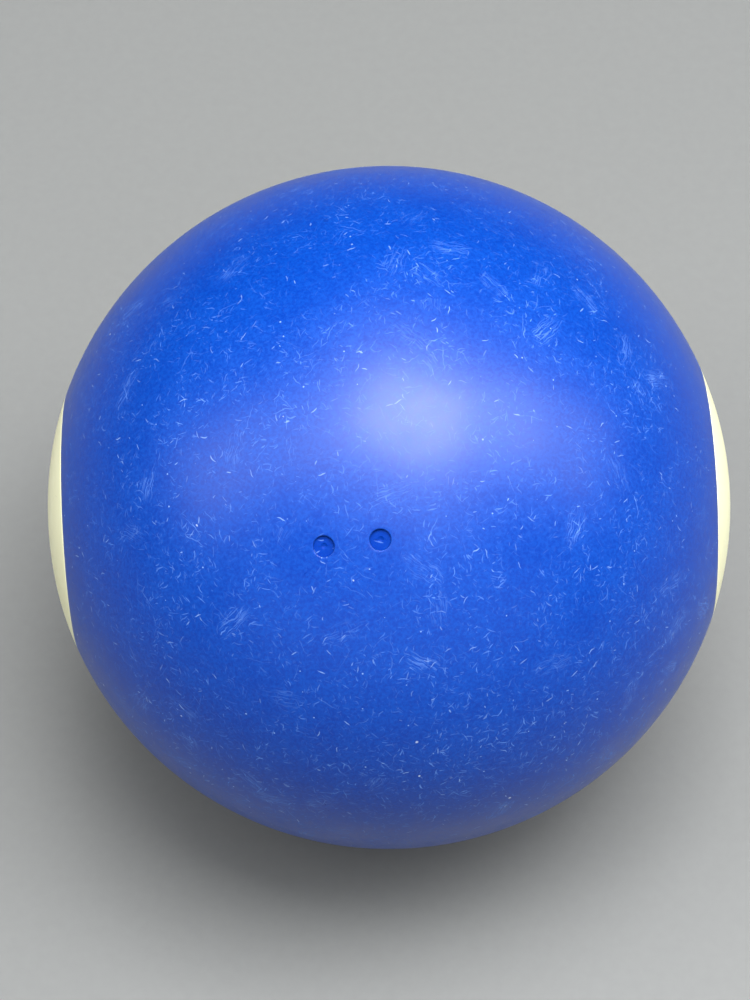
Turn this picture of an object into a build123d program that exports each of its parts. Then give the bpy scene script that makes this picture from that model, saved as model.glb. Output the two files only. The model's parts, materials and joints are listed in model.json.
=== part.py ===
"""Friction ball for opening and closing screwed watch case backs.

A soft, tacky, air-filled rubber ball that fits the palm. It is pressed on the case back and turned by hand.
The outside is a blue moulded rubber cover with a cream rubber disc let in flush at each end of its axis.
Inside is an airtight bladder. Two needle ports open side by side in the cover's upper front, and under each
one a self-sealing plug sits in a valve block that is bonded into the bladder.

Frame: origin at the ball's centre, X through the middles of the two discs, +Z up, -Y to the front.
Lengths are millimetres and angles are degrees. "Height" means distance from the ball's centre.
"""

import math
import os

from build123d import *

# Ball and its two walls
BALL_R = 32.5
COVER_WALL = 2.6
BLADDER_WALL = 1.0
BOND_LINE = 0.02  # cement film between two bonded faces
EDGE_ROUND = 0.1  # soft moulded edge at the seam between cover and disc

# Cream discs: half angles seen from the ball's centre
DISC_HALF_ANGLE = 22.5
DISC_FLANGE_ANGLE = 26.5  # the flange that keys under the cover's lip
DISC_LIP = 1.3  # thickness of the cover's lip over that flange

# Pair of needle ports: their middle lies left of the mid-plane, on the upper front
PAIR_SIDEWAYS = -6.35  # from the mid-plane towards the left disc
PAIR_RISE = 52.9  # above the horizon
PAIR_TWIST = 4.7  # of the line through both ports, about the pair's own axis
PORT_SPACING = 4.86
PORT_R = 0.93
PORT_FLOOR_HEIGHT = 32.05  # where the plug's nose closes the port

# Self-sealing plugs: pushed in from inside, so that the air holds their heads against the valve block
PLUG_R = 1.15
PLUG_HEAD_R = 2.0
PLUG_HEAD_LENGTH = 1.0
PLUG_HEAD_ROUND = 0.3
PLUG_FIT = 0.02  # radial gap round the plug
DIMPLE_R = 0.3  # lead-in for the needle
DIMPLE_DEPTH = 0.12
SLIT_LENGTH = 1.1
SLIT_WIDTH = 0.05

# Valve block and the patch that bonds it to the bladder: both are stadium-shaped round the two ports
BOSS_R = 2.45
BOSS_INNER_HEIGHT = 25.0
BOSS_ROUND = 0.3
BLOCK_FLANGE_R = 5.0
BLOCK_FLANGE_WALL = 1.0
PATCH_R = 7.5
PATCH_WALL = 0.7
PATCH_BEVEL = 0.5

# Worked out from the above
COVER_INNER_R = BALL_R - COVER_WALL
LEDGE_R = BALL_R - DISC_LIP
BLADDER_OUTER_R = COVER_INNER_R - BOND_LINE
BLADDER_INNER_R = BLADDER_OUTER_R - BLADDER_WALL
FLANGE_OUTER_R = BLADDER_INNER_R - BOND_LINE
FLANGE_INNER_R = FLANGE_OUTER_R - BLOCK_FLANGE_WALL
PATCH_INNER_R = FLANGE_INNER_R - BOND_LINE - PATCH_WALL
BORE_R = PLUG_R + PLUG_FIT
PLUG_NOSE_HEIGHT = PORT_FLOOR_HEIGHT - BOND_LINE
PLUG_HEAD_TOP = BOSS_INNER_HEIGHT - BOND_LINE
PORT_SIDES = {"left": -1, "right": 1}


def polar(radius, angle):
    """The point at that distance from the centre and that angle from the X axis."""
    turn = math.radians(angle)
    return (radius * math.cos(turn), radius * math.sin(turn))


def seam_angle(radius, angle, gap):
    """The angle once its radial wall has moved by gap, measured at that radius."""
    return angle + math.degrees(gap / radius)


def pair_plane():
    """The plane through the ball's centre whose normal points at the middle of the two ports."""
    side, rise = math.radians(PAIR_SIDEWAYS), math.radians(PAIR_RISE)
    normal = Vector(math.sin(side), -math.cos(side) * math.cos(rise), math.cos(side) * math.sin(rise))
    across = Vector(math.cos(side), math.sin(side) * math.cos(rise), -math.sin(side) * math.sin(rise))
    return Plane(origin=(0, 0, 0), x_dir=across.rotate(Axis((0, 0, 0), normal), PAIR_TWIST), z_dir=normal)


PAIR = pair_plane()


def stadium(radius, low, high):
    """A stadium-shaped prism round both ports, between two heights."""
    outline = PAIR.offset(low) * SlotCenterToCenter(PORT_SPACING, 2 * radius)
    return extrude(outline, high - low)


def round_bar(side, radius, low, high):
    """A round bar on one port's axis, between two heights."""
    outline = PAIR.offset(low) * Pos(side * PORT_SPACING / 2, 0) * Circle(radius)
    return extrude(outline, high - low)


def hollow_sphere(outer, inner):
    """A closed spherical wall whose poles lie on the X axis."""
    section = make_face(
        [
            CenterArc((0, 0), outer, 0, 180),
            Line((-outer, 0), (-inner, 0)),
            CenterArc((0, 0), inner, 0, 180),
            Line((inner, 0), (outer, 0)),
        ]
    )
    return revolve(section, Axis.X)


def seam_edges(solid):
    """The circles round the discs on the ball's outer surface."""
    seam_x = BALL_R * math.cos(math.radians(DISC_HALF_ANGLE))
    reach = 10 * BOND_LINE
    circles = solid.edges().filter_by(GeomType.CIRCLE)
    return circles.filter_by(lambda edge: abs(abs(edge.arc_center.X) - seam_x) < reach)


def pole_disc(side):
    """A cream disc: a spherical cap, flush with the cover, with a flange round its inner half."""
    section = make_face(
        [
            CenterArc((0, 0), BALL_R, 0, DISC_HALF_ANGLE),
            Line(polar(BALL_R, DISC_HALF_ANGLE), polar(LEDGE_R, DISC_HALF_ANGLE)),
            CenterArc((0, 0), LEDGE_R, DISC_HALF_ANGLE, DISC_FLANGE_ANGLE - DISC_HALF_ANGLE),
            Line(polar(LEDGE_R, DISC_FLANGE_ANGLE), polar(COVER_INNER_R, DISC_FLANGE_ANGLE)),
            CenterArc((0, 0), COVER_INNER_R, 0, DISC_FLANGE_ANGLE),
            Line((COVER_INNER_R, 0), (BALL_R, 0)),
        ]
    )
    disc = revolve(section, Axis.X)
    disc = fillet(seam_edges(disc), EDGE_ROUND)
    return disc if side > 0 else Rot(0, 0, 180) * disc


def cover_band():
    """The blue cover: a spherical band, rebated round both discs, with the two needle ports."""
    lip = seam_angle(LEDGE_R, DISC_HALF_ANGLE, BOND_LINE)
    rebate = seam_angle(COVER_INNER_R, DISC_FLANGE_ANGLE, BOND_LINE)
    ledge = LEDGE_R + BOND_LINE
    section = make_face(
        [
            CenterArc((0, 0), BALL_R, lip, 180 - 2 * lip),
            Line(polar(BALL_R, 180 - lip), polar(ledge, 180 - lip)),
            CenterArc((0, 0), ledge, 180 - rebate, rebate - lip),
            Line(polar(ledge, 180 - rebate), polar(COVER_INNER_R, 180 - rebate)),
            CenterArc((0, 0), COVER_INNER_R, rebate, 180 - 2 * rebate),
            Line(polar(COVER_INNER_R, rebate), polar(ledge, rebate)),
            CenterArc((0, 0), ledge, lip, rebate - lip),
            Line(polar(ledge, lip), polar(BALL_R, lip)),
        ]
    )
    band = revolve(section, Axis.X)
    band = fillet(seam_edges(band), EDGE_ROUND)
    for side in PORT_SIDES.values():
        band -= round_bar(side, PORT_R, BOSS_INNER_HEIGHT, BALL_R + COVER_WALL)
        band -= round_bar(side, BORE_R, BOSS_INNER_HEIGHT, PORT_FLOOR_HEIGHT)
    return band


def bladder():
    """The airtight inner ball, cut out where the valve block comes through."""
    wall = hollow_sphere(BLADDER_OUTER_R, BLADDER_INNER_R)
    return wall - stadium(BOSS_R + BOND_LINE, BOSS_INNER_HEIGHT, BALL_R)


def valve_block():
    """The moulded block that holds both plugs: a boss through the bladder and a flange inside it."""
    boss = stadium(BOSS_R, BOSS_INNER_HEIGHT, BALL_R)
    boss = fillet(boss.faces().sort_by(Axis(PAIR.origin, PAIR.z_dir))[0].edges(), BOSS_ROUND)
    boss = boss & Sphere(BLADDER_OUTER_R)
    flange = stadium(BLOCK_FLANGE_R, BOSS_INNER_HEIGHT, BALL_R)
    block = boss + (flange & hollow_sphere(FLANGE_OUTER_R, FLANGE_INNER_R))
    for side in PORT_SIDES.values():
        block -= round_bar(side, BORE_R, BOSS_INNER_HEIGHT - 1, BALL_R)
    return block


def valve_patch():
    """The rubber patch that laps over the block's flange and bonds it to the bladder."""
    low = BOSS_INNER_HEIGHT - 2 * PATCH_WALL
    wall = hollow_sphere(FLANGE_OUTER_R, PATCH_INNER_R)
    patch = stadium(PATCH_R, low, BALL_R) & wall
    pocket_wall = hollow_sphere(BALL_R, FLANGE_INNER_R - BOND_LINE)
    patch -= stadium(BLOCK_FLANGE_R + BOND_LINE, low, BALL_R + 1) & pocket_wall
    patch -= stadium(BOSS_R + BOND_LINE, low, BALL_R)
    reach = PATCH_WALL / 2
    inner_faces = patch.faces().filter_by(lambda face: abs(face.center().length - PATCH_INNER_R) < reach)
    outline = inner_faces.sort_by(SortBy.AREA)[-1].outer_wire()
    return chamfer(outline.edges(), PATCH_BEVEL)


def valve_plug(side):
    """A self-sealing plug: a bar with a head inside the ball, a lead-in dimple and a slit for the needle."""
    head = round_bar(side, PLUG_HEAD_R, PLUG_HEAD_TOP - PLUG_HEAD_LENGTH, PLUG_HEAD_TOP)
    head = fillet(head.faces().sort_by(Axis(PAIR.origin, PAIR.z_dir))[0].edges(), PLUG_HEAD_ROUND)
    plug = head + round_bar(side, PLUG_R, PLUG_HEAD_TOP - PLUG_HEAD_LENGTH / 2, PLUG_NOSE_HEIGHT)
    on_axis = PAIR * Pos(side * PORT_SPACING / 2, 0, 0)
    dimple = Cone(0.05, DIMPLE_R, DIMPLE_DEPTH, align=(Align.CENTER, Align.CENTER, Align.MAX))
    plug -= on_axis * Pos(0, 0, PLUG_NOSE_HEIGHT) * dimple
    slit = Box(SLIT_LENGTH, SLIT_WIDTH, BALL_R, align=(Align.CENTER, Align.CENTER, Align.MAX))
    plug -= on_axis * Pos(0, 0, BALL_R) * slit
    return plug


def build():
    """Every sub-part by its node name."""
    parts = {"cover_band": cover_band(), "bladder": bladder(), "valve_block": valve_block()}
    parts["valve_patch"] = valve_patch()
    for name, side in PORT_SIDES.items():
        parts[f"pole_disc_{name}"] = pole_disc(side)
        parts[f"valve_plug_{name}"] = valve_plug(side)
    return parts


os.makedirs("parts", exist_ok=True)
for node, shape in build().items():
    export_step(shape, f"parts/{node}.step")
    print(node, "volume", round(shape.volume, 1), "mm3")
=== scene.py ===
"""Looks of a friction ball for opening and closing screwed watch case backs.

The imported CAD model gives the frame. The pieces that show are modelled again with clean quads: the
blue cover with its two needle ports, a cream disc at each end of the ball's axis, and the two
self-sealing plugs. The bladder, the valve block and its patch keep their CAD meshes and get rubber
finishes of their own.

Lengths are metres unless a name says otherwise. +Z is up, X runs through the middles of the two discs,
-Y is the front, and the origin is the ball's centre.
"""

from __future__ import annotations

import json
import logging
import math
from contextlib import contextmanager
from dataclasses import dataclass
from enum import Enum
from typing import Callable, Iterator, Sequence, Union

import bmesh
import bpy
from mathutils import Matrix, Vector

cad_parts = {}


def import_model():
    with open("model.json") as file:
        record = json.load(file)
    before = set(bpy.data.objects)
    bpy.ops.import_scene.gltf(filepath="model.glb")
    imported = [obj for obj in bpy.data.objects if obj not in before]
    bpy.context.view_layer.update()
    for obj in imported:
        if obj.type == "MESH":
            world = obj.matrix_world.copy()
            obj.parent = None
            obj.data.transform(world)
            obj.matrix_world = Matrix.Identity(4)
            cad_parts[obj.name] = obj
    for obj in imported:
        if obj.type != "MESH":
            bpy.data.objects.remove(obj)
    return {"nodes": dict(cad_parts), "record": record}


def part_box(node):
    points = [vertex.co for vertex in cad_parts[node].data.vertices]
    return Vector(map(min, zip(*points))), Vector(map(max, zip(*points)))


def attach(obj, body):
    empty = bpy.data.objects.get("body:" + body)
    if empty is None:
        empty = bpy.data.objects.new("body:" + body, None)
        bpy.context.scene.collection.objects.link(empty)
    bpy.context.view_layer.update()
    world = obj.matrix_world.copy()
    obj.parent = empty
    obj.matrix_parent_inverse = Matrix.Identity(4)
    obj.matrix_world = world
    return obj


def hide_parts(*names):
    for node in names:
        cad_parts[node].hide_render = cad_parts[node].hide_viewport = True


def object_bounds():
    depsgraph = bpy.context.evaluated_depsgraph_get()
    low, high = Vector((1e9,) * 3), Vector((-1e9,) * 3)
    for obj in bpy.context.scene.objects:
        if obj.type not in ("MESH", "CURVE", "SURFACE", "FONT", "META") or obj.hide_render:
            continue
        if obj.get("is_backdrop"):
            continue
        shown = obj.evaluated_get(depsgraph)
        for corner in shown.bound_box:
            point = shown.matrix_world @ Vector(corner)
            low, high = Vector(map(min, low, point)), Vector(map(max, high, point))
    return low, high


log = logging.getLogger("friction_ball")

MM = 0.001
BODY = "root"
CENTRE = (0.0, 0.0, 0.0)
CLOSE = 1e-6  # places nearer than this count as one
Colour = tuple[float, float, float, float]
Link = Union["Signal", bpy.types.NodeSocket, float, Sequence[float]]


# ---------------------------------------------------------------------------------------------------------
# Modelling
# ---------------------------------------------------------------------------------------------------------


class Side(Enum):
    """Which end of the ball's axis a disc or a port belongs to."""

    LEFT = -1
    RIGHT = 1

    @property
    def word(self) -> str:
        """The side's name as the nodes spell it."""
        return self.name.lower()


@dataclass(frozen=True)
class BallSizes:
    """Sizes that the pieces share, in metres and degrees from the ball's centre."""

    radius: float
    ledge: float
    inner: float
    seam: float = 22.5
    flange: float = 26.5
    lip: float = 1.3 * MM
    gap: float = 0.02 * MM
    seam_round: float = 0.1 * MM

    @classmethod
    def from_frame(cls) -> BallSizes:
        """Reads the ball's radius and the cover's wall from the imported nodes.

        Returns:
            The sizes, with the ledge at the depth of the cover's lip.
        """
        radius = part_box("cover_band")[1].y
        return cls(radius=radius, ledge=radius - cls.lip, inner=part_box("bladder")[1].y + cls.gap)


@dataclass(frozen=True)
class Port:
    """A needle port: a point on its axis, the way it opens, and its radius."""

    side: Side
    foot: Vector
    out: Vector
    radius: float

    @classmethod
    def from_record(cls, record: dict, side: Side) -> Port:
        """Finds a port among the record's mounts.

        Args:
            record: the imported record.
            side: which of the two ports.

        Returns:
            The port.
        """
        name = f"needle_port_{side.word}"
        mount = next(m for m in record["mounts"] if m["name"] == name)
        out = Vector(mount["axis"]).normalized()
        return cls(side, Vector(mount["pos_m"]), out, mount["dims"]["r_mm"] * MM)

    def at(self, height: float) -> Vector:
        """The point on the port's axis at that height over the ball's centre, measured along the axis."""
        return self.foot + self.out * (height - self.foot.dot(self.out))

    def surface(self, radius: float) -> Vector:
        """The point where the port's axis leaves a sphere of that radius."""
        off = self.at(0.0).length
        return self.at(math.sqrt(radius**2 - off**2))

    def turn(self) -> tuple[float, float, float]:
        """Euler angles that turn +Z to the port's direction."""
        return tuple(self.out.to_track_quat("Z", "X").to_euler())


@dataclass(frozen=True)
class RingStep:
    """One ring of a turned profile: its distance from the ball's centre and its angle from the X axis."""

    distance: float
    angle: float

    def scale_to(self, other: RingStep) -> tuple[float, float, float]:
        """The scaling about the ball's centre that takes this ring to the other one."""
        here, there = math.radians(self.angle), math.radians(other.angle)
        along = other.distance * math.cos(there) / (self.distance * math.cos(here))
        across = other.distance * math.sin(there) / (self.distance * math.sin(here))
        return (along, across, across)


class Workpiece:
    """A mesh under work: it is selected by place and shaped with the usual edit operators."""

    def __init__(self, name: str) -> None:
        """Takes over the object that a primitive operator has just added.

        Args:
            name: the piece's name.
        """
        self.object = bpy.context.object
        self.object.name = name
        self.object.data.name = name

    @classmethod
    def sphere(cls, name: str, radius: float, segments: int, rings: int, roll: float) -> Workpiece:
        """Adds a ball whose poles lie on the X axis.

        Args:
            name: the piece's name.
            radius: the ball's radius.
            segments: faces round the X axis.
            rings: faces from pole to pole.
            roll: turn about the X axis, in radians.

        Returns:
            The workpiece, with its turn already in the mesh.
        """
        rest()
        bpy.ops.mesh.primitive_uv_sphere_add(
            segments=segments,
            ring_count=rings,
            radius=radius,
            calc_uvs=False,
            rotation=(0.0, math.pi / 2, 0.0),
        )
        piece = cls(name)
        piece.apply_place()
        piece.object.rotation_euler = (roll, 0.0, 0.0)
        piece.apply_place()
        return piece

    @classmethod
    def cylinder(
        cls, name: str, port: Port, radius: float, low: float, high: float, segments: int
    ) -> Workpiece:
        """Adds a round bar on a port's axis.

        Args:
            name: the piece's name.
            port: the port whose axis it stands on.
            radius: the bar's radius.
            low: height of its lower end over the ball's centre.
            high: height of its upper end.
            segments: faces round it.

        Returns:
            The workpiece, with its place already in the mesh.
        """
        rest()
        bpy.ops.mesh.primitive_cylinder_add(
            vertices=segments,
            radius=radius,
            depth=high - low,
            location=port.at((high + low) / 2),
            rotation=port.turn(),
        )
        piece = cls(name)
        piece.apply_place()
        return piece

    def apply_place(self) -> None:
        """Puts the object's place and turn into its mesh."""
        self.activate()
        bpy.ops.object.transform_apply(location=True, rotation=True, scale=True)

    def activate(self) -> None:
        """Makes this the only selected object, and the active one."""
        rest()
        self.object.select_set(True)
        bpy.context.view_layer.objects.active = self.object

    @contextmanager
    def editing(self) -> Iterator[None]:
        """Edit mode for as long as the block lasts."""
        self.activate()
        bpy.ops.object.mode_set(mode="EDIT")
        yield
        bpy.ops.object.mode_set(mode="OBJECT")

    def pick_vertices(self, wanted: Callable[[Vector], bool]) -> None:
        """Selects the vertices whose places are wanted."""
        self._pick("VERT", "verts", lambda vertex: wanted(vertex.co))

    def pick_edges(self, wanted: Callable[[bmesh.types.BMEdge], bool], extend: bool = False) -> None:
        """Selects the edges that are wanted, and keeps those selected before if it extends."""
        self._pick("EDGE", "edges", lambda edge: wanted(edge) or (extend and edge.select))

    def pick_faces(self, wanted: Callable[[bmesh.types.BMFace], bool]) -> None:
        """Selects the faces that are wanted."""
        self._pick("FACE", "faces", wanted)

    def _pick(self, mode: str, kind: str, wanted: Callable) -> None:
        """Selects just the elements that are wanted.

        Args:
            mode: the select mode.
            kind: which of the mesh's lists holds the elements.
            wanted: says for an element whether it is picked.
        """
        mesh = bmesh.from_edit_mesh(self.object.data)
        chosen = [element for element in getattr(mesh, kind) if wanted(element)]
        bpy.ops.mesh.select_all(action="DESELECT")
        bpy.ops.mesh.select_mode(type=mode)
        for element in chosen:
            element.select_set(True)
        bmesh.update_edit_mesh(self.object.data)
        log.debug("%s: %d %s picked", self.object.name, len(chosen), kind)

    def turn_profile(self, steps: Sequence[RingStep]) -> None:
        """Extrudes the selected ring, or pair of mirrored rings, through the steps of a profile.

        Args:
            steps: where the ring is now, then each place it goes to.
        """
        for here, there in zip(steps, steps[1:]):
            bpy.ops.mesh.extrude_region()
            bpy.ops.transform.resize(value=here.scale_to(there), center_override=CENTRE)

    def bridge(self, rings: int) -> None:
        """Joins the two selected loops by faces, with that many rings of edges between them."""
        bpy.ops.mesh.bridge_edge_loops(type="SINGLE", number_cuts=rings, interpolation="LINEAR")

    def round_edges(self, width: float) -> None:
        """Rounds the selected edges."""
        bpy.ops.mesh.bevel(offset=width, segments=4, profile=0.5, affect="EDGES")

    def cast(self, radius: float, group: str = "") -> None:
        """Rounds the mesh, or a vertex group of it, to a sphere about the ball's centre.

        Args:
            radius: the sphere's radius.
            group: the vertex group's name, or nothing for the whole mesh.
        """
        self.activate()
        modifier = self.object.modifiers.new("Round", "CAST")
        modifier.cast_type = "SPHERE"
        modifier.factor = 1.0
        modifier.size = radius
        modifier.use_radius_as_size = False
        modifier.vertex_group = group
        bpy.ops.object.modifier_apply(modifier=modifier.name)

    def cut(self, tool: Workpiece) -> None:
        """Cuts another piece out of this one and throws that piece away."""
        self.activate()
        modifier = self.object.modifiers.new("Cut", "BOOLEAN")
        modifier.operation = "DIFFERENCE"
        modifier.solver = "MANIFOLD"
        modifier.object = tool.object
        bpy.ops.object.modifier_apply(modifier=modifier.name)
        mesh = tool.object.data
        bpy.data.objects.remove(tool.object)
        bpy.data.meshes.remove(mesh)

    def finish(self, angle: float = 35.0) -> None:
        """Turns the faces outward and smooths the shading across everything flatter than the angle."""
        with self.editing():
            bpy.ops.mesh.select_all(action="SELECT")
            bpy.ops.mesh.remove_doubles(threshold=1e-7)
            bpy.ops.mesh.normals_make_consistent(inside=False)
        bpy.ops.object.shade_smooth_by_angle(angle=math.radians(angle))

    def hand_over(self, node: str, slot: str, material: bpy.types.Material) -> bpy.types.Object:
        """Dresses the piece and lets it stand for its CAD node.

        Args:
            node: the CAD node that it replaces.
            slot: the record's material slot; not used.
            material: its finish.

        Returns:
            The finished object.
        """
        self.object.data.materials.clear()
        self.object.data.materials.append(material)
        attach(self.object, BODY)
        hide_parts(node)
        log.info("%s: %d faces", self.object.name, len(self.object.data.polygons))
        return self.object


def rest() -> None:
    """Leaves edit mode and deselects everything."""
    if bpy.context.object and bpy.context.object.mode != "OBJECT":
        bpy.ops.object.mode_set(mode="OBJECT")
    bpy.ops.object.select_all(action="DESELECT")


def latitude(place: Vector) -> float:
    """Degrees from the ball's mid-plane towards the right disc."""
    return math.degrees(math.asin(max(-1.0, min(1.0, place.x / place.length))))


def rise(place: Vector) -> float:
    """Degrees about the X axis, from the front up."""
    return math.degrees(math.atan2(place.z, -place.y))


def on_circle(edge: bmesh.types.BMEdge, ring: RingStep, slack: float) -> bool:
    """Says whether an edge is part of a ring of the turned profile, at either end of the ball.

    Args:
        edge: the edge.
        ring: the ring.
        slack: how far the edge's ends may be from it.

    Returns:
        True where both ends are near enough.
    """
    along = ring.distance * math.cos(math.radians(ring.angle))
    return all(
        abs(abs(v.co.x) - along) < slack and abs(v.co.length - ring.distance) < slack for v in edge.verts
    )


@dataclass
class CoverBand:
    """The blue moulded cover: a spherical band with a lip over each disc's flange, and the two ports."""

    sizes: BallSizes
    ports: Sequence[Port]
    finish: CoverRubber
    segments: int = 320
    rings: int = 160
    block: int = 8  # faces along each side of the square that is opened round a port
    divide: int = -6  # faces from the mid-plane to the line between the two squares
    block_rings: int = 7  # rings of edges between a square and its port's rim
    rim_round: float = 0.08 * MM
    rim_steps: int = 5
    bore: float = 1.17 * MM
    bore_segments: int = 64
    floor: float = 32.05 * MM
    overlap: float = 0.25 * MM  # how far the port's wall runs on into the plug's bore
    first_step: float = 0.05 * MM  # length of the wall's first ring of faces
    overshoot: float = 2 * MM  # how far the bore's tool starts inside the band
    lining_rings: int = 40

    @property
    def cell(self) -> float:
        """Degrees that one face spans."""
        return 180.0 / self.rings

    def build(self) -> bpy.types.Object:
        """Models the cover.

        Returns:
            The finished object.
        """
        middle = sum(rise(port.foot) for port in self.ports) / len(self.ports)
        piece = Workpiece.sphere(
            "cover_shell", self.sizes.radius, self.segments // 2, self.rings // 2, self._roll(middle)
        )
        with piece.editing():
            piece.pick_vertices(lambda place: abs(latitude(place)) > 90 - self.sizes.seam + self.cell / 4)
            bpy.ops.mesh.delete(type="VERT")
            bpy.ops.mesh.select_all(action="SELECT")
            bpy.ops.mesh.subdivide(number_cuts=1)
            for port in self.ports:
                self._open_block(piece, port, middle)
        piece.cast(self.sizes.radius)
        with piece.editing():
            self._trim_seams(piece)
            for port in self.ports:
                self._sink_port(piece, port)
            self._line_inside(piece)
        self._round_inside(piece)
        for port in self.ports:
            low = self.sizes.inner - self.overshoot
            piece.cut(Workpiece.cylinder("plug_room", port, self.bore, low, self.floor, self.bore_segments))
        piece.finish()
        return piece.hand_over("cover_band", "blue_rubber", self.finish.build())

    def _roll(self, middle: float) -> float:
        """The turn about X that puts a line of faces' edges at that rise."""
        step = 360.0 / self.segments
        return -math.radians(middle % step)

    def _block_edges(self, port: Port, middle: float) -> tuple[float, float, float, float]:
        """The latitudes and rises between which the faces round a port are taken out."""
        reach = self.block * self.cell / 2
        centre = round(latitude(port.surface(self.sizes.radius)) / self.cell) * self.cell
        if port.side is Side.LEFT:
            centre = min(centre, self.divide * self.cell - reach)
        else:
            centre = max(centre, self.divide * self.cell + reach)
        return (centre - reach, centre + reach, middle - reach, middle + reach)

    def _open_block(self, piece: Workpiece, port: Port, middle: float) -> None:
        """Replaces a square of faces with rings that run from the port's rim out to the square."""
        low, high, under, over = self._block_edges(port, middle)
        slack = self.cell / 4

        def inside(place: Vector, margin: float) -> bool:
            """Says whether the place is in the square, give or take the margin."""
            across = low - margin < latitude(place) < high + margin
            return across and under - margin < rise(place) < over + margin

        piece.pick_faces(lambda face: inside(face.calc_center_median(), 0.0))
        bpy.ops.mesh.delete(type="FACE")
        bpy.ops.mesh.select_mode(type="EDGE")
        bpy.ops.mesh.select_all(action="DESELECT")
        bpy.ops.mesh.primitive_circle_add(
            vertices=self.block * 4,
            radius=port.radius + self.rim_round,
            fill_type="NOTHING",
            location=port.surface(self.sizes.radius),
            rotation=port.turn(),
        )

        def on_square(edge: bmesh.types.BMEdge) -> bool:
            """Says whether the edge is part of the square's open border."""
            places = [vertex.co for vertex in edge.verts]
            return edge.is_boundary and all(inside(place, slack) for place in places)

        piece.pick_edges(on_square, extend=True)
        piece.bridge(self.block_rings)

    def _trim_seams(self, piece: Workpiece) -> None:
        """Draws the outer surface back to the seams, so that a hair's gap is left to each disc."""
        seam = self.sizes.seam
        wide = seam + math.degrees(self.sizes.gap / self.sizes.ledge)
        radius = self.sizes.radius
        piece.pick_vertices(lambda place: abs(latitude(place)) > 90 - seam - self.cell / 4)
        bpy.ops.transform.resize(
            value=RingStep(radius, seam).scale_to(RingStep(radius, wide)), center_override=CENTRE
        )

    def _sink_port(self, piece: Workpiece, port: Port) -> None:
        """Rounds a port's rim and draws its wall down past the plug's nose."""
        rim = port.radius + self.rim_round
        centre = port.surface(self.sizes.radius)

        def on_rim(edge: bmesh.types.BMEdge) -> bool:
            """Says whether the edge is part of the port's open rim."""
            return edge.is_boundary and all((v.co - centre).length < rim * 1.05 for v in edge.verts)

        piece.pick_edges(on_rim)
        here, sunk = rim, 0.0
        for step in range(1, self.rim_steps + 1):
            angle = math.radians(90 * step / self.rim_steps)
            wide = rim - self.rim_round * math.sin(angle)
            deep = self.rim_round * (1 - math.cos(angle))
            self._draw_in(port, centre, wide / here, deep - sunk)
            here, sunk = wide, deep
        bottom = (centre - port.at(self.floor)).length + self.overlap
        for deep in (sunk + self.first_step, (sunk + bottom) / 2, bottom):
            self._draw_in(port, centre, 1.0, deep - sunk)
            sunk = deep
        bpy.ops.mesh.edge_face_add()

    def _draw_in(self, port: Port, centre: Vector, shrink: float, deep: float) -> None:
        """Extrudes the selected ring, narrows it about the port's axis and sinks it."""
        bpy.ops.mesh.extrude_region()
        bpy.ops.transform.resize(value=(shrink,) * 3, center_override=centre)
        bpy.ops.transform.translate(value=-port.out * deep)

    def _line_inside(self, piece: Workpiece) -> None:
        """Models both lips, the ledges under them, and the inside of the band."""
        sizes = self.sizes
        wide = sizes.seam + math.degrees(sizes.gap / sizes.ledge)
        rebate = sizes.flange + math.degrees(sizes.gap / sizes.inner)
        ledge = sizes.ledge + sizes.gap

        piece.pick_edges(
            lambda edge: edge.is_boundary and all(abs(latitude(v.co)) > 60 for v in edge.verts)
        )
        piece.turn_profile(
            [
                RingStep(sizes.radius, wide),
                RingStep(ledge, wide),
                RingStep(ledge, rebate),
                RingStep(sizes.inner, rebate),
            ]
        )
        piece.bridge(self.lining_rings)
        piece.pick_edges(lambda edge: on_circle(edge, RingStep(sizes.radius, wide), 5 * CLOSE))
        piece.round_edges(sizes.seam_round)

    def _round_inside(self, piece: Workpiece) -> None:
        """Brings the inside of the band to its sphere."""
        group = piece.object.vertex_groups.new(name="inside")
        limit = 90 - self.sizes.flange
        inner = self.sizes.inner + CLOSE
        members = [
            vertex.index
            for vertex in piece.object.data.vertices
            if vertex.co.length < inner and abs(latitude(vertex.co)) < limit
        ]
        group.add(members, 1.0, "REPLACE")
        piece.cast(self.sizes.inner, "inside")
        piece.object.vertex_groups.clear()


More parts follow.
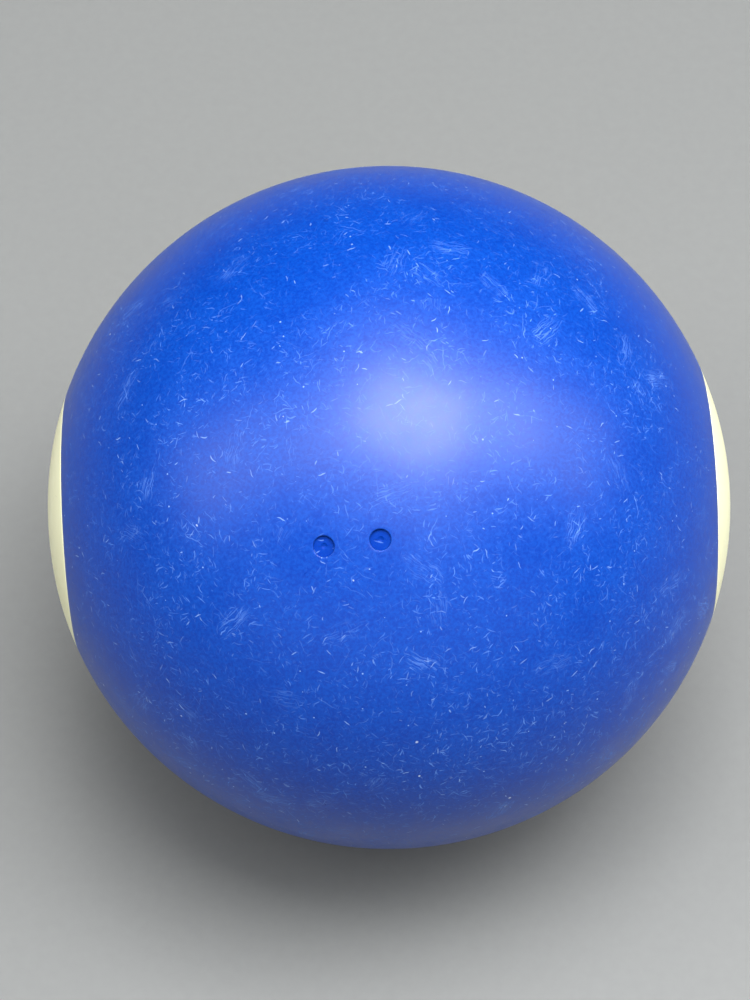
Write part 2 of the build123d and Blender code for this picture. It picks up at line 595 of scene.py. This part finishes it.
@dataclass
class PoleDisc:
    """A cream disc at one end of the axis: a cap flush with the cover, and a flange under its lip."""

    side: Side
    sizes: BallSizes
    finish: DiscRubber
    pressed: float
    pressed_top: float = 0.02 * MM  # depth of the cap at the pole that is pushed in whole
    pressed_reach: float = 11 * MM
    segments: int = 160
    rings: int = 160
    back_rings: int = 8

    def build(self) -> bpy.types.Object:
        """Models the disc.

        Returns:
            The finished object.
        """
        sizes, way = self.sizes, self.side.value
        piece = Workpiece.sphere(f"disc_{self.side.word}", sizes.radius, self.segments, self.rings, 0.0)
        slack = 45.0 / self.rings
        with piece.editing():
            piece.pick_vertices(lambda place: way * latitude(place) < 90 - sizes.seam - slack)
            bpy.ops.mesh.delete(type="VERT")
            piece.pick_edges(lambda edge: edge.is_boundary)
            steps = [
                RingStep(sizes.radius, sizes.seam),
                RingStep(sizes.ledge, sizes.seam),
                RingStep(sizes.ledge, sizes.flange),
                RingStep(sizes.inner, sizes.flange),
            ]
            parts = self.back_rings
            steps += [RingStep(sizes.inner, sizes.flange * k / parts) for k in range(parts - 1, 0, -1)]
            piece.turn_profile(steps)
            bpy.ops.mesh.extrude_region()
            bpy.ops.transform.translate(value=(way * (sizes.inner - self._ring_x(steps[-1])), 0.0, 0.0))
            bpy.ops.mesh.merge(type="CENTER")
            piece.pick_edges(lambda edge: on_circle(edge, RingStep(sizes.radius, sizes.seam), CLOSE))
            piece.round_edges(sizes.seam_round)
            self._press(piece)
        piece.finish()
        return piece.hand_over(f"pole_disc_{self.side.word}", "cream_rubber", self.finish.build())

    def _ring_x(self, step: RingStep) -> float:
        """How far along the axis a ring lies."""
        return step.distance * math.cos(math.radians(step.angle))

    def _press(self, piece: Workpiece) -> None:
        """Flattens the middle of the disc a little, as hard use has done."""
        if not self.pressed:
            return
        piece.pick_vertices(lambda place: abs(place.x) > self.sizes.radius - self.pressed_top)
        bpy.ops.transform.translate(
            value=(-self.side.value * self.pressed, 0.0, 0.0),
            use_proportional_edit=True,
            use_proportional_connected=True,
            proportional_edit_falloff="SMOOTH",
            proportional_size=self.pressed_reach,
        )


@dataclass
class SealingPlug:
    """A self-sealing plug: a bar with a head inside the ball, and a dimple and a slit in its nose."""

    port: Port
    finish: PlugRubber
    radius: float = 1.15 * MM
    nose: float = 32.03 * MM
    head: float = 24.98 * MM
    head_length: float = 1.0 * MM
    head_radius: float = 2.0 * MM
    head_round: float = 0.3 * MM
    nose_taper: float = 0.96
    dimple: float = 0.3 * MM
    dimple_rim: float = 0.02 * MM
    dimple_steps: tuple[tuple[float, float], ...] = (  # millimetres down and narrowing
        (0.02, 0.9),
        (0.04, 0.8),
        (0.04, 0.62),
        (0.02, 0.3),
    )
    slit_length: float = 1.1 * MM
    slit_width: float = 0.02 * MM
    slit_depth: float = 12 * MM
    slit_middle: float = 28 * MM
    segments: int = 64

    def build(self) -> bpy.types.Object:
        """Models the plug.

        Returns:
            The finished object.
        """
        side, out = self.port.side.word, self.port.out
        base = self.head - self.head_length
        piece = Workpiece.cylinder(
            f"plug_{side}", self.port, self.head_radius, base, self.head, self.segments
        )

        def height(place: Vector) -> float:
            """How far along the port's direction the place is."""
            return place.dot(out)

        def off_axis(place: Vector) -> float:
            """How far the place is from the port's axis."""
            return (place - self.port.at(height(place))).length

        with piece.editing():
            piece.pick_faces(lambda face: face.normal.dot(out) > 0.9)
            bpy.ops.mesh.inset(thickness=self.head_radius - self.radius)
            self._raise(self.nose - self.head)
            self._narrow(self.nose, self.nose_taper)
            bpy.ops.mesh.inset(thickness=self.radius - self.dimple - 3 * self.dimple_rim)
            bpy.ops.mesh.inset(thickness=self.dimple_rim)
            for deep, shrink in self.dimple_steps:
                self._raise(-deep * MM)
                self._narrow(None, shrink)
            piece.pick_edges(
                lambda edge: all(
                    abs(height(v.co) - base) < CLOSE and off_axis(v.co) > self.radius for v in edge.verts
                )
            )
            piece.round_edges(self.head_round)
        piece.cut(self._slit())
        piece.finish()
        return piece.hand_over(f"valve_plug_{side}", "plug_rubber", self.finish.build())

    def _raise(self, distance: float) -> None:
        """Extrudes the selected face along the port's axis."""
        bpy.ops.mesh.extrude_region()
        bpy.ops.transform.translate(value=self.port.out * distance)

    def _narrow(self, height: float | None, shrink: float) -> None:
        """Scales the selected face about its own middle."""
        mesh = bmesh.from_edit_mesh(bpy.context.object.data)
        places = [vertex.co for vertex in mesh.verts if vertex.select]
        middle = sum(places, Vector()) / len(places)
        centre = self.port.at(middle.dot(self.port.out) if height is None else height)
        bpy.ops.transform.resize(value=(shrink,) * 3, center_override=centre)

    def _slit(self) -> Workpiece:
        """The blade that slits the plug from end to end."""
        rest()
        across = Vector((1.0, 0.0, 0.0))
        across -= self.port.out * across.dot(self.port.out)
        across.normalize()
        turn = Matrix((across, self.port.out.cross(across), self.port.out)).transposed()
        bpy.ops.mesh.primitive_cube_add(
            size=1.0,
            location=self.port.at(self.slit_middle),
            rotation=turn.to_euler(),
            scale=(self.slit_length, self.slit_width, self.slit_depth),
        )
        blade = Workpiece("blade")
        blade.apply_place()
        return blade


# ---------------------------------------------------------------------------------------------------------
# Finishes
# ---------------------------------------------------------------------------------------------------------


class Signal:
    """A node's number that takes part in Python arithmetic and adds the Math nodes that work it out."""

    def __init__(self, graph: Graph, socket: bpy.types.NodeSocket) -> None:
        """Wraps a socket.

        Args:
            graph: the graph that the socket belongs to.
            socket: the output that carries the number.
        """
        self.graph = graph
        self.socket = socket

    def __add__(self, other: Link) -> Signal:
        """self + other."""
        return self.graph.math("ADD", self, other)

    def __sub__(self, other: Link) -> Signal:
        """self - other."""
        return self.graph.math("SUBTRACT", self, other)

    def __mul__(self, other: Link) -> Signal:
        """self times other."""
        return self.graph.math("MULTIPLY", self, other)

    def __truediv__(self, other: Link) -> Signal:
        """self over other."""
        return self.graph.math("DIVIDE", self, other)

    def __lt__(self, other: Link) -> Signal:
        """1 where self is less than other, and 0 elsewhere."""
        return self.graph.math("LESS_THAN", self, other)

    def fraction(self) -> Signal:
        """What is left after the whole number is taken off."""
        return self.graph.math("FRACT", self)

    def ramp(self, low: float, high: float) -> Signal:
        """Rises smoothly from 0 at low to 1 at high, or falls where high is the smaller."""
        start, end, first, last = (low, high, 0.0, 1.0) if low < high else (high, low, 1.0, 0.0)
        node = self.graph.node(
            "ShaderNodeMapRange",
            {"interpolation_type": "SMOOTHSTEP"},
            {"Value": self, "From Min": start, "From Max": end, "To Min": first, "To Max": last},
        )
        return Signal(self.graph, node.outputs["Result"])


class Graph:
    """The node tree of one material."""

    def __init__(self, name: str) -> None:
        """Starts an empty material.

        Args:
            name: the material's name.
        """
        self.material = bpy.data.materials.new(name)
        self.material.use_nodes = True
        self.tree = self.material.node_tree
        self.tree.nodes.clear()

    def node(
        self, kind: str, settings: dict[str, object] | None = None, values: dict | None = None
    ) -> bpy.types.Node:
        """Adds a node.

        Args:
            kind: the node's type.
            settings: its properties, which are set first.
            values: for each input, by name or number, a constant or the output that feeds it.

        Returns:
            The node.
        """
        node = self.tree.nodes.new(kind)
        for name, value in (settings or {}).items():
            setattr(node, name, value)
        for key, value in (values or {}).items():
            source = value.socket if isinstance(value, Signal) else value
            if isinstance(source, bpy.types.NodeSocket):
                self.tree.links.new(source, node.inputs[key])
            else:
                node.inputs[key].default_value = source
        return node

    def math(self, operation: str, *values: Link) -> Signal:
        """Adds a Math node and returns what it works out."""
        node = self.node("ShaderNodeMath", {"operation": operation}, dict(enumerate(values)))
        return Signal(self, node.outputs[0])

    def vector(self, operation: str, *values: Link, scale: float | None = None) -> bpy.types.NodeSocket:
        """Adds a Vector Math node and returns its vector."""
        inputs: dict = dict(enumerate(values))
        if scale is not None:
            inputs["Scale"] = scale
        return self.node("ShaderNodeVectorMath", {"operation": operation}, inputs).outputs["Vector"]

    def measure(self, operation: str, *values: Link) -> Signal:
        """Adds a Vector Math node and returns its number."""
        node = self.node("ShaderNodeVectorMath", {"operation": operation}, dict(enumerate(values)))
        return Signal(self, node.outputs["Value"])

    def place(self) -> bpy.types.NodeSocket:
        """The place on the object, in millimetres from the ball's centre."""
        return self.vector("SCALE", self.node("ShaderNodeTexCoord").outputs["Object"], scale=1000.0)

    def noise(self, place: Link, grain: float, detail: float = 2.0, rough: float = 0.5) -> Signal:
        """Soft random variation.

        Args:
            place: where it is read, in millimetres.
            grain: the size of its blotches, in millimetres.
            detail: how many finer octaves it has.
            rough: how strong those are.

        Returns:
            A number around 0.5.
        """
        return Signal(self, self._noise(place, grain, detail, rough).outputs["Fac"])

    def stir(self, place: Link, grain: float, reach: float) -> bpy.types.NodeSocket:
        """The place, moved about at random by up to the reach, in millimetres."""
        colour = self._noise(place, grain, 1.0, 0.5).outputs["Color"]
        centred = self.vector("SUBTRACT", colour, (0.5, 0.5, 0.5))
        return self.vector("ADD", place, self.vector("SCALE", centred, scale=2 * reach))

    def _noise(self, place: Link, grain: float, detail: float, rough: float) -> bpy.types.Node:
        """Adds a noise texture."""
        return self.node(
            "ShaderNodeTexNoise",
            {"noise_dimensions": "3D"},
            {"Vector": place, "Scale": 1.0 / grain, "Detail": detail, "Roughness": rough},
        )

    def cells(self, place: Link, size: float, randomness: float = 1.0) -> bpy.types.Node:
        """Adds a texture of cells of about that size, each with a random colour."""
        return self.node(
            "ShaderNodeTexVoronoi",
            {"voronoi_dimensions": "3D", "feature": "F1"},
            {"Vector": place, "Scale": 1.0 / size, "Randomness": randomness},
        )

    def channels(self, colour: Link) -> list[Signal]:
        """The red, green and blue of a colour."""
        node = self.node("ShaderNodeSeparateColor", None, {0: colour})
        return [Signal(self, part) for part in node.outputs]

    def mix(self, mask: Link, under: Link, over: Link) -> bpy.types.NodeSocket:
        """Lays one colour over another where the mask is 1."""
        node = self.node(
            "ShaderNodeMix", {"data_type": "RGBA", "clamp_factor": True}, {0: mask, 6: under, 7: over}
        )
        return node.outputs[2]

    def bump(self, height: Link, relief: float) -> bpy.types.NodeSocket:
        """The normal of a surface with that height.

        Args:
            height: a number.
            relief: metres that a height of 1 stands for.

        Returns:
            The normal.
        """
        node = self.node("ShaderNodeBump", None, {"Distance": relief, "Height": height})
        return node.outputs["Normal"]

    def close(self, values: dict) -> bpy.types.Material:
        """Ends the material in a Principled shader.

        Args:
            values: for each of the shader's inputs, a constant or the output that feeds it.

        Returns:
            The material.
        """
        shader = self.node("ShaderNodeBsdfPrincipled", None, values)
        self.node("ShaderNodeOutputMaterial", None, {"Surface": shader.outputs[0]})
        return self.material


@dataclass(frozen=True)
class Cell:
    """A mark's own cell: how far the place is along and across it, and the mark's random numbers."""

    along: Signal
    across: Signal
    luck: Signal
    second: Signal
    third: Signal

    def neighbour(self, number: int, reach: float) -> Cell:
        """Another mark in the same cell, turned and moved aside at random.

        Args:
            number: which of the cell's marks it is. The first lies as the cell does.
            reach: how far it may move, in millimetres.

        Returns:
            The measures as that mark sees them.
        """
        if number == 0:
            return self
        graph = self.luck.graph
        # Any uneven factors do here: they only part one mark's random numbers from another's.
        angle = (self.second + 0.37 * number) * (5.1 + number)
        sine, cosine = graph.math("SINE", angle), graph.math("COSINE", angle)
        luck = (self.luck * (5.3 + 2.1 * number) + self.third).fraction()
        second = (self.third * (4.7 + 1.9 * number) + self.luck).fraction()
        third = (self.second * (6.1 + 1.7 * number) + self.luck).fraction()
        aside, ahead = (second - 0.5) * (2 * reach), (third - 0.5) * (2 * reach)
        return Cell(
            along=self.along * cosine + self.across * sine - ahead,
            across=self.across * cosine - self.along * sine - aside,
            luck=luck,
            second=second,
            third=third,
        )


@dataclass(frozen=True)
class Scatter:
    """Cells of about one size spread over the ball, each with a random direction on its surface."""

    size: float
    seed: float

    def cell(self, graph: Graph, place: Link, radius: float) -> Cell:
        """Finds the cell that the place is in.

        Args:
            graph: the graph to add to.
            place: the place in millimetres.
            radius: the ball's radius in millimetres.

        Returns:
            The cell's own measures.
        """
        # Each seed reads another part of the texture.
        shift = (self.seed * 17.3, self.seed * -9.1, self.seed * 5.7)
        cells = graph.cells(graph.vector("ADD", place, shift), self.size, 0.95)
        outward = graph.vector("NORMALIZE", graph.vector("SUBTRACT", cells.outputs["Position"], shift))
        away = graph.vector("SUBTRACT", place, graph.vector("SCALE", outward, scale=radius))
        colour = cells.outputs["Color"]
        heading = graph.vector("SUBTRACT", colour, (0.5, 0.5, 0.5))
        along = graph.vector("NORMALIZE", graph.vector("CROSS_PRODUCT", outward, heading))
        across = graph.vector("CROSS_PRODUCT", outward, along)
        red, green, blue = graph.channels(colour)
        return Cell(
            along=graph.measure("DOT_PRODUCT", away, along),
            across=graph.measure("DOT_PRODUCT", away, across),
            luck=(red * 7.31 + green * 3.17).fraction(),
            second=(green * 5.73 + blue * 4.19).fraction(),
            third=(blue * 6.37 + red * 2.93).fraction(),
        )


@dataclass(frozen=True)
class Strokes:
    """Short curved marks, such as lint and fine scratches. Lengths are millimetres."""

    scatter: Scatter
    length: float
    width: float
    bend: float
    share: float
    copies: int = 1

    def mask(self, graph: Graph, place: Link, radius: float) -> Signal:
        """How much of a mark there is at the place, from 0 to 1."""
        home = self.scatter.cell(graph, place, radius)
        marks = [self._mark(home.neighbour(k, 0.35 * self.scatter.size)) for k in range(self.copies)]
        total = marks[0]
        for mark in marks[1:]:
            total = graph.math("MAXIMUM", total, mark)
        return total

    def _mark(self, cell: Cell) -> Signal:
        """One mark of a cell."""
        half = cell.second * (0.35 * self.length) + 0.15 * self.length
        curve = (cell.third - 0.5) * (2 * self.bend)
        across = (cell.across - curve * cell.along * cell.along) / self.width
        along = cell.along / half
        inside = (across * across + along * along).ramp(1.0, 0.2)
        return inside * (cell.luck < self.share) * (cell.luck * (0.75 / self.share) + 0.25)


@dataclass(frozen=True)
class Scuffs:
    """Bundles of parallel hairlines where something has rubbed. Lengths are millimetres."""

    scatter: Scatter
    length: float
    width: float
    hair: float
    share: float

    def mask(self, graph: Graph, place: Link, radius: float) -> Signal:
        """How much of a hairline there is at the place, from 0 to 1."""
        cell = self.scatter.cell(graph, place, radius)
        across, along = cell.across / self.width, cell.along / self.length
        inside = (across * across + along * along).ramp(1.0, 0.1)
        values = {0: cell.along / (self.hair * 14), 1: cell.across / self.hair, 2: cell.luck * 40}
        lined = graph.node("ShaderNodeCombineXYZ", None, values).outputs[0]
        hairs = graph.noise(lined, grain=1.0, detail=1.0).ramp(0.48, 0.66)
        return inside * hairs * (cell.luck < self.share)


@dataclass(frozen=True)
class Specks:
    """Small round spots, such as grains of dust and faint dark spots. Lengths are millimetres."""

    size: float
    radius: float
    share: float
    seed: float

    def mask(self, graph: Graph, place: Link) -> Signal:
        """1 inside a speck and 0 outside."""
        shift = (self.seed * -3.7, self.seed * 11.9, self.seed * 6.1)
        cells = graph.cells(graph.vector("ADD", place, shift), self.size)
        luck, big, _ = graph.channels(cells.outputs["Color"])
        distance = Signal(graph, cells.outputs["Distance"]) * self.size / (big * 0.6 + 0.4)
        return distance.ramp(self.radius, self.radius * 0.5) * (luck < self.share)


@dataclass(frozen=True)
class CoverRubber:
    """Deep blue moulded rubber: a soft gloss under bloom, lint and fine scuffs."""

    radius: float
    deep: Colour = (0.0, 0.0255, 0.227, 1.0)
    bloomed: Colour = (0.0006, 0.052, 0.322, 1.0)
    marked: Colour = (0.085, 0.19, 0.52, 1.0)
    lint: Colour = (0.2, 0.31, 0.56, 1.0)
    pit: Colour = (0.0002, 0.018, 0.17, 1.0)
    fleck: Colour = (0.5, 0.58, 0.7, 1.0)
    relief: float = 1.6e-6
    fine: Strokes = Strokes(Scatter(1.1, 1.0), length=0.8, width=0.05, bend=0.9, share=0.8, copies=3)
    plain: Strokes = Strokes(Scatter(1.7, 2.0), length=1.25, width=0.055, bend=0.55, share=0.75, copies=3)
    long: Strokes = Strokes(Scatter(3.4, 3.0), length=3.8, width=0.05, bend=0.15, share=0.5, copies=2)
    bright: Strokes = Strokes(Scatter(2.2, 4.0), length=1.1, width=0.065, bend=0.5, share=0.4, copies=2)
    scuff: Scuffs = Scuffs(Scatter(6.0, 5.0), length=2.4, width=1.2, hair=0.1, share=0.4)
    dust: Specks = Specks(size=1.3, radius=0.12, share=0.5, seed=6.0)
    # Faint dark spots: a darker blue laid into the colour, with no relief.
    pits: Specks = Specks(size=6.5, radius=0.5, share=0.35, seed=7.0)
    flecks: Specks = Specks(size=2.6, radius=0.2, share=0.3, seed=8.0)

    def build(self) -> bpy.types.Material:
        """Makes the finish."""
        graph = Graph("cover_rubber")
        radius = self.radius / MM
        place = graph.place()
        outside = graph.measure("LENGTH", place).ramp(radius - 0.16, radius - 0.03)
        stirred = graph.stir(place, grain=0.9, reach=0.25)
        cloud = graph.noise(place, grain=11.0, detail=3.0, rough=0.55)
        patch = graph.noise(place, grain=4.2, detail=2.0, rough=0.6)
        grain = graph.noise(place, grain=0.3, detail=2.0, rough=0.6)
        # Marks gather in drifts, and most of all low on the ball.
        low = graph.measure("DOT_PRODUCT", place, (0.0, 0.0, 1.0)).ramp(17.0, -4.0)
        crowd = (cloud.ramp(0.36, 0.62) * 0.5 + 0.42) * (patch.ramp(0.36, 0.6) * 0.8 + 0.2) + low * 0.75

        fine = self.fine.mask(graph, stirred, radius)
        plain = self.plain.mask(graph, stirred, radius)
        long = self.long.mask(graph, stirred, radius)
        bright = self.bright.mask(graph, stirred, radius)
        scuff = self.scuff.mask(graph, stirred, radius)
        dust = self.dust.mask(graph, place)
        pits = self.pits.mask(graph, place)
        flecks = self.flecks.mask(graph, stirred)

        soft = (fine * 0.42 + plain * 0.85 + long * 0.6 + scuff * 0.55) * crowd * outside
        hard = (bright * bright * 0.55 + dust * 0.6) * (low * 0.8 + 1.0) * outside
        bloom = cloud.ramp(0.3, 0.75) * 0.1 + patch.ramp(0.35, 0.65) * 0.14
        haze = (bloom + grain.ramp(0.3, 0.7) * 0.5) * outside

        colour = graph.mix(haze, self.deep, self.bloomed)
        # Faint dark spots: a darker blue laid into the colour.
        colour = graph.mix(pits * 0.5, colour, self.pit)
        colour = graph.mix(soft * 0.8, colour, self.marked)
        colour = graph.mix(hard, colour, self.lint)
        colour = graph.mix(flecks * (low * 0.5 + 0.4) * outside, colour, self.fleck)
        height = graph.noise(place, grain=1.6, detail=2.0, rough=0.5) * 2.2 + grain * 0.8
        return graph.close(
            {
                "Base Color": colour,
                "Roughness": cloud * 0.1 + patch * 0.14 + grain * 0.16 + soft * 0.2 + 0.15,
                "Specular IOR Level": 0.3,
                "Normal": graph.bump(height, self.relief),
            }
        )


@dataclass(frozen=True)
class DiscRubber:
    """Cream moulded rubber with a little grime in its scratches."""

    radius: float
    clean: Colour = (0.7, 0.695, 0.46, 1.0)
    aged: Colour = (0.62, 0.6, 0.36, 1.0)
    grime: Colour = (0.3, 0.28, 0.2, 1.0)
    relief: float = 1.6e-6
    short: Strokes = Strokes(Scatter(1.6, 11.0), length=1.3, width=0.05, bend=0.5, share=0.6)
    long: Strokes = Strokes(Scatter(4.5, 12.0), length=3.4, width=0.05, bend=0.15, share=0.5)
    specks: Specks = Specks(size=2.3, radius=0.12, share=0.35, seed=13.0)

    def build(self) -> bpy.types.Material:
        """Makes the finish."""
        graph = Graph("disc_rubber")
        radius = self.radius / MM
        place = graph.place()
        stirred = graph.stir(place, grain=1.1, reach=0.2)
        cloud = graph.noise(place, grain=8.0, detail=3.0, rough=0.55)
        grain = graph.noise(place, grain=0.8, detail=3.0, rough=0.6)
        lines = self.short.mask(graph, stirred, radius)
        lines += self.long.mask(graph, stirred, radius)
        specks = self.specks.mask(graph, place)
        colour = graph.mix(cloud.ramp(0.35, 0.75) * 0.35, self.clean, self.aged)
        colour = graph.mix(lines * 0.22 + specks * 0.45, colour, self.grime)
        height = grain * 1.2 + lines * -1.5
        return graph.close(
            {
                "Base Color": colour,
                "Roughness": cloud * 0.1 + grain * 0.15 + 0.3,
                "Normal": graph.bump(height, self.relief),
            }
        )


@dataclass(frozen=True)
class PlugRubber:
    """Blue rubber of the self-sealing plugs: clean below the surface, but for a little lint."""

    nose: float
    base: Colour = (0.0001, 0.025, 0.23, 1.0)
    dusty: Colour = (0.001, 0.04, 0.27, 1.0)
    lint: Colour = (0.12, 0.22, 0.5, 1.0)
    relief: float = 4e-6
    strands: Strokes = Strokes(Scatter(1.2, 21.0), length=1.2, width=0.07, bend=0.6, share=0.5, copies=2)

    def build(self) -> bpy.types.Material:
        """Makes the finish."""
        graph = Graph("plug_rubber")
        place = graph.place()
        grain = graph.noise(place, grain=0.35, detail=3.0, rough=0.6)
        lint = self.strands.mask(graph, place, self.nose / MM)
        colour = graph.mix(grain.ramp(0.45, 0.8) * 0.5, self.base, self.dusty)
        colour = graph.mix(lint * 0.5, colour, self.lint)
        return graph.close(
            {
                "Base Color": colour,
                "Roughness": grain * 0.25 + 0.35,
                "Specular IOR Level": 0.06,
                "Normal": graph.bump(grain, self.relief),
            }
        )


@dataclass(frozen=True)
class InnerRubber:
    """Black rubber inside the ball, with talc left on it."""

    name: str
    base: Colour
    dusted: float
    talc: Colour = (0.32, 0.32, 0.3, 1.0)
    relief: float = 2e-5

    def build(self) -> bpy.types.Material:
        """Makes the finish."""
        graph = Graph(self.name)
        place = graph.place()
        cloud = graph.noise(place, grain=5.0, detail=4.0, rough=0.6)
        grain = graph.noise(place, grain=0.5, detail=3.0, rough=0.65)
        powder = cloud.ramp(0.45, 0.8) * grain.ramp(0.35, 0.75)
        return graph.close(
            {
                "Base Color": graph.mix(powder * self.dusted, self.base, self.talc),
                "Roughness": powder * 0.2 + 0.55,
                "Normal": graph.bump(cloud * 0.7 + grain * 0.3, self.relief),
            }
        )


# ---------------------------------------------------------------------------------------------------------
# Studio
# ---------------------------------------------------------------------------------------------------------


@dataclass(frozen=True)
class Panel:
    """A soft light that faces the ball. Its lengths are metres and its power is watts."""

    name: str
    bearing: tuple[float, float, float]
    distance: float
    width: float
    height: float
    power: float

    def hang(self) -> None:
        """Puts the light up."""
        rest()
        way = Vector(self.bearing).normalized()
        bpy.ops.object.light_add(type="AREA", location=way * self.distance)
        lamp = bpy.context.object
        lamp.name = self.name
        lamp.rotation_euler = way.to_track_quat("Z", "Y").to_euler()
        lamp.data.shape = "RECTANGLE"
        lamp.data.size = self.width
        lamp.data.size_y = self.height
        lamp.data.energy = self.power


@dataclass(frozen=True)
class Viewpoint:
    """Where the camera stands: it looks down on the ball from the front, a little off its middle.

    The turns are degrees, the distance is metres and the lens millimetres. The aim's shifts aside and below
    are slopes.
    """

    azimuth: float = -1.19
    elevation: float = 58.03
    roll: float = -1.69
    distance: float = 0.27625
    lens: float = 103.8
    aside: float = 0.00467
    below: float = -0.00255

    def place(self) -> None:
        """Sets the scene's camera."""
        rest()
        az, el, roll = (math.radians(v) for v in (self.azimuth, self.elevation, self.roll))
        back = Vector((math.sin(az) * math.cos(el), -math.cos(az) * math.cos(el), math.sin(el)))
        level = Vector((math.cos(az), math.sin(az), 0.0))
        right = level * math.cos(roll) + back.cross(level) * math.sin(roll)
        aim = (back + right * self.aside + back.cross(right) * self.below).normalized()
        right = (right - aim * right.dot(aim)).normalized()
        turn = Matrix((right, aim.cross(right), aim)).transposed()
        bpy.ops.object.camera_add(location=back * self.distance, rotation=turn.to_euler())
        camera = bpy.context.object
        camera.name = "camera"
        camera.data.lens = self.lens
        camera.data.sensor_width = 36.0
        camera.data.clip_start = 0.01
        camera.data.clip_end = 10.0
        bpy.context.scene.camera = camera


@dataclass(frozen=True)
class Studio:
    """A plain pale floor, soft light and the camera."""

    panels: Sequence[Panel]
    view: Viewpoint
    ambient: float = 0.05
    sky: Colour = (0.9, 0.95, 1.0, 1.0)
    floor_size: float = 6.0
    floor_dark: Colour = (0.115, 0.119, 0.117, 1.0)
    floor_light: Colour = (0.131, 0.135, 0.133, 1.0)

    def set_up(self, ground: float) -> None:
        """Builds the studio.

        Args:
            ground: height of the floor.
        """
        self._lay_floor(ground)
        for panel in self.panels:
            panel.hang()
        world = bpy.data.worlds.new("room")
        world.use_nodes = True
        backdrop = world.node_tree.nodes["Background"]
        backdrop.inputs["Color"].default_value = self.sky
        backdrop.inputs["Strength"].default_value = self.ambient
        bpy.context.scene.world = world
        bpy.context.scene.view_settings.view_transform = "Standard"
        self.view.place()

    def _lay_floor(self, ground: float) -> None:
        """Lays the floor under the ball."""
        rest()
        bpy.ops.mesh.primitive_plane_add(size=self.floor_size, location=(0.0, 0.0, ground))
        floor = Workpiece("floor")
        floor.apply_place()
        graph = Graph("floor_paint")
        shade = graph.noise(graph.place(), grain=1.2, detail=4.0, rough=0.6)
        colour = graph.mix(shade, self.floor_dark, self.floor_light)
        floor.object.data.materials.append(graph.close({"Base Color": colour, "Roughness": 0.6}))
        floor.object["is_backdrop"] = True


STUDIO = Studio(
    panels=(  # name, bearing, distance, width, height and power
        Panel("ceiling_panel", (0.14, -0.08, 0.98), 0.8, 1.1, 1.0, 9.2),
        Panel("ceiling_core", (0.14, -0.06, 0.99), 0.79, 0.37, 0.42, 9.6),
        Panel("core_left", (-0.3, -0.08, 0.95), 0.79, 0.28, 0.4, 1.3),
        Panel("core_right", (0.52, -0.05, 0.85), 0.79, 0.28, 0.45, 1.8),
        Panel("left_panel", (-0.77, -0.1, 0.63), 0.9, 0.45, 0.6, 3.5),
        Panel("right_panel", (0.79, -0.02, 0.61), 0.9, 0.45, 0.65, 4.1),
        Panel("front_fill", (0.0, -0.95, 0.3), 1.1, 2.6, 0.7, 4.8),
    ),
    view=Viewpoint(),
)


def dress_inside(nodes: dict[str, bpy.types.Object]) -> None:
    """Gives the CAD nodes inside the ball their finishes.

    Args:
        nodes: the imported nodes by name.
    """
    finishes = {
        "bladder": InnerRubber("bladder_rubber", (0.03, 0.03, 0.032, 1.0), dusted=0.45),
        "valve_patch": InnerRubber("patch_rubber", (0.05, 0.045, 0.04, 1.0), dusted=0.2),
        "valve_block": InnerRubber("valve_rubber", (0.09, 0.085, 0.08, 1.0), dusted=0.1),
    }
    for name, finish in finishes.items():
        mesh = nodes[name].data
        mesh.materials.clear()
        mesh.materials.append(finish.build())
        log.info("%s: dressed", name)


def main() -> None:
    """Builds the ball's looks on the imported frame, piece by piece, and the studio round it."""
    logging.basicConfig(level=logging.INFO, format="%(name)s: %(message)s")
    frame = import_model()
    cad_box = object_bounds()
    sizes = BallSizes.from_frame()
    ports = [Port.from_record(frame["record"], side) for side in Side]
    CoverBand(sizes, ports, CoverRubber(sizes.radius)).build()
    for side, pressed in ((Side.LEFT, 0.1 * MM), (Side.RIGHT, 0.0)):
        PoleDisc(side, sizes, DiscRubber(sizes.radius), pressed).build()
    for port in ports:
        SealingPlug(port, PlugRubber(SealingPlug.nose)).build()
    dress_inside(frame["nodes"])
    STUDIO.set_up(cad_box[0].z)


if __name__ == "__main__":
    main()
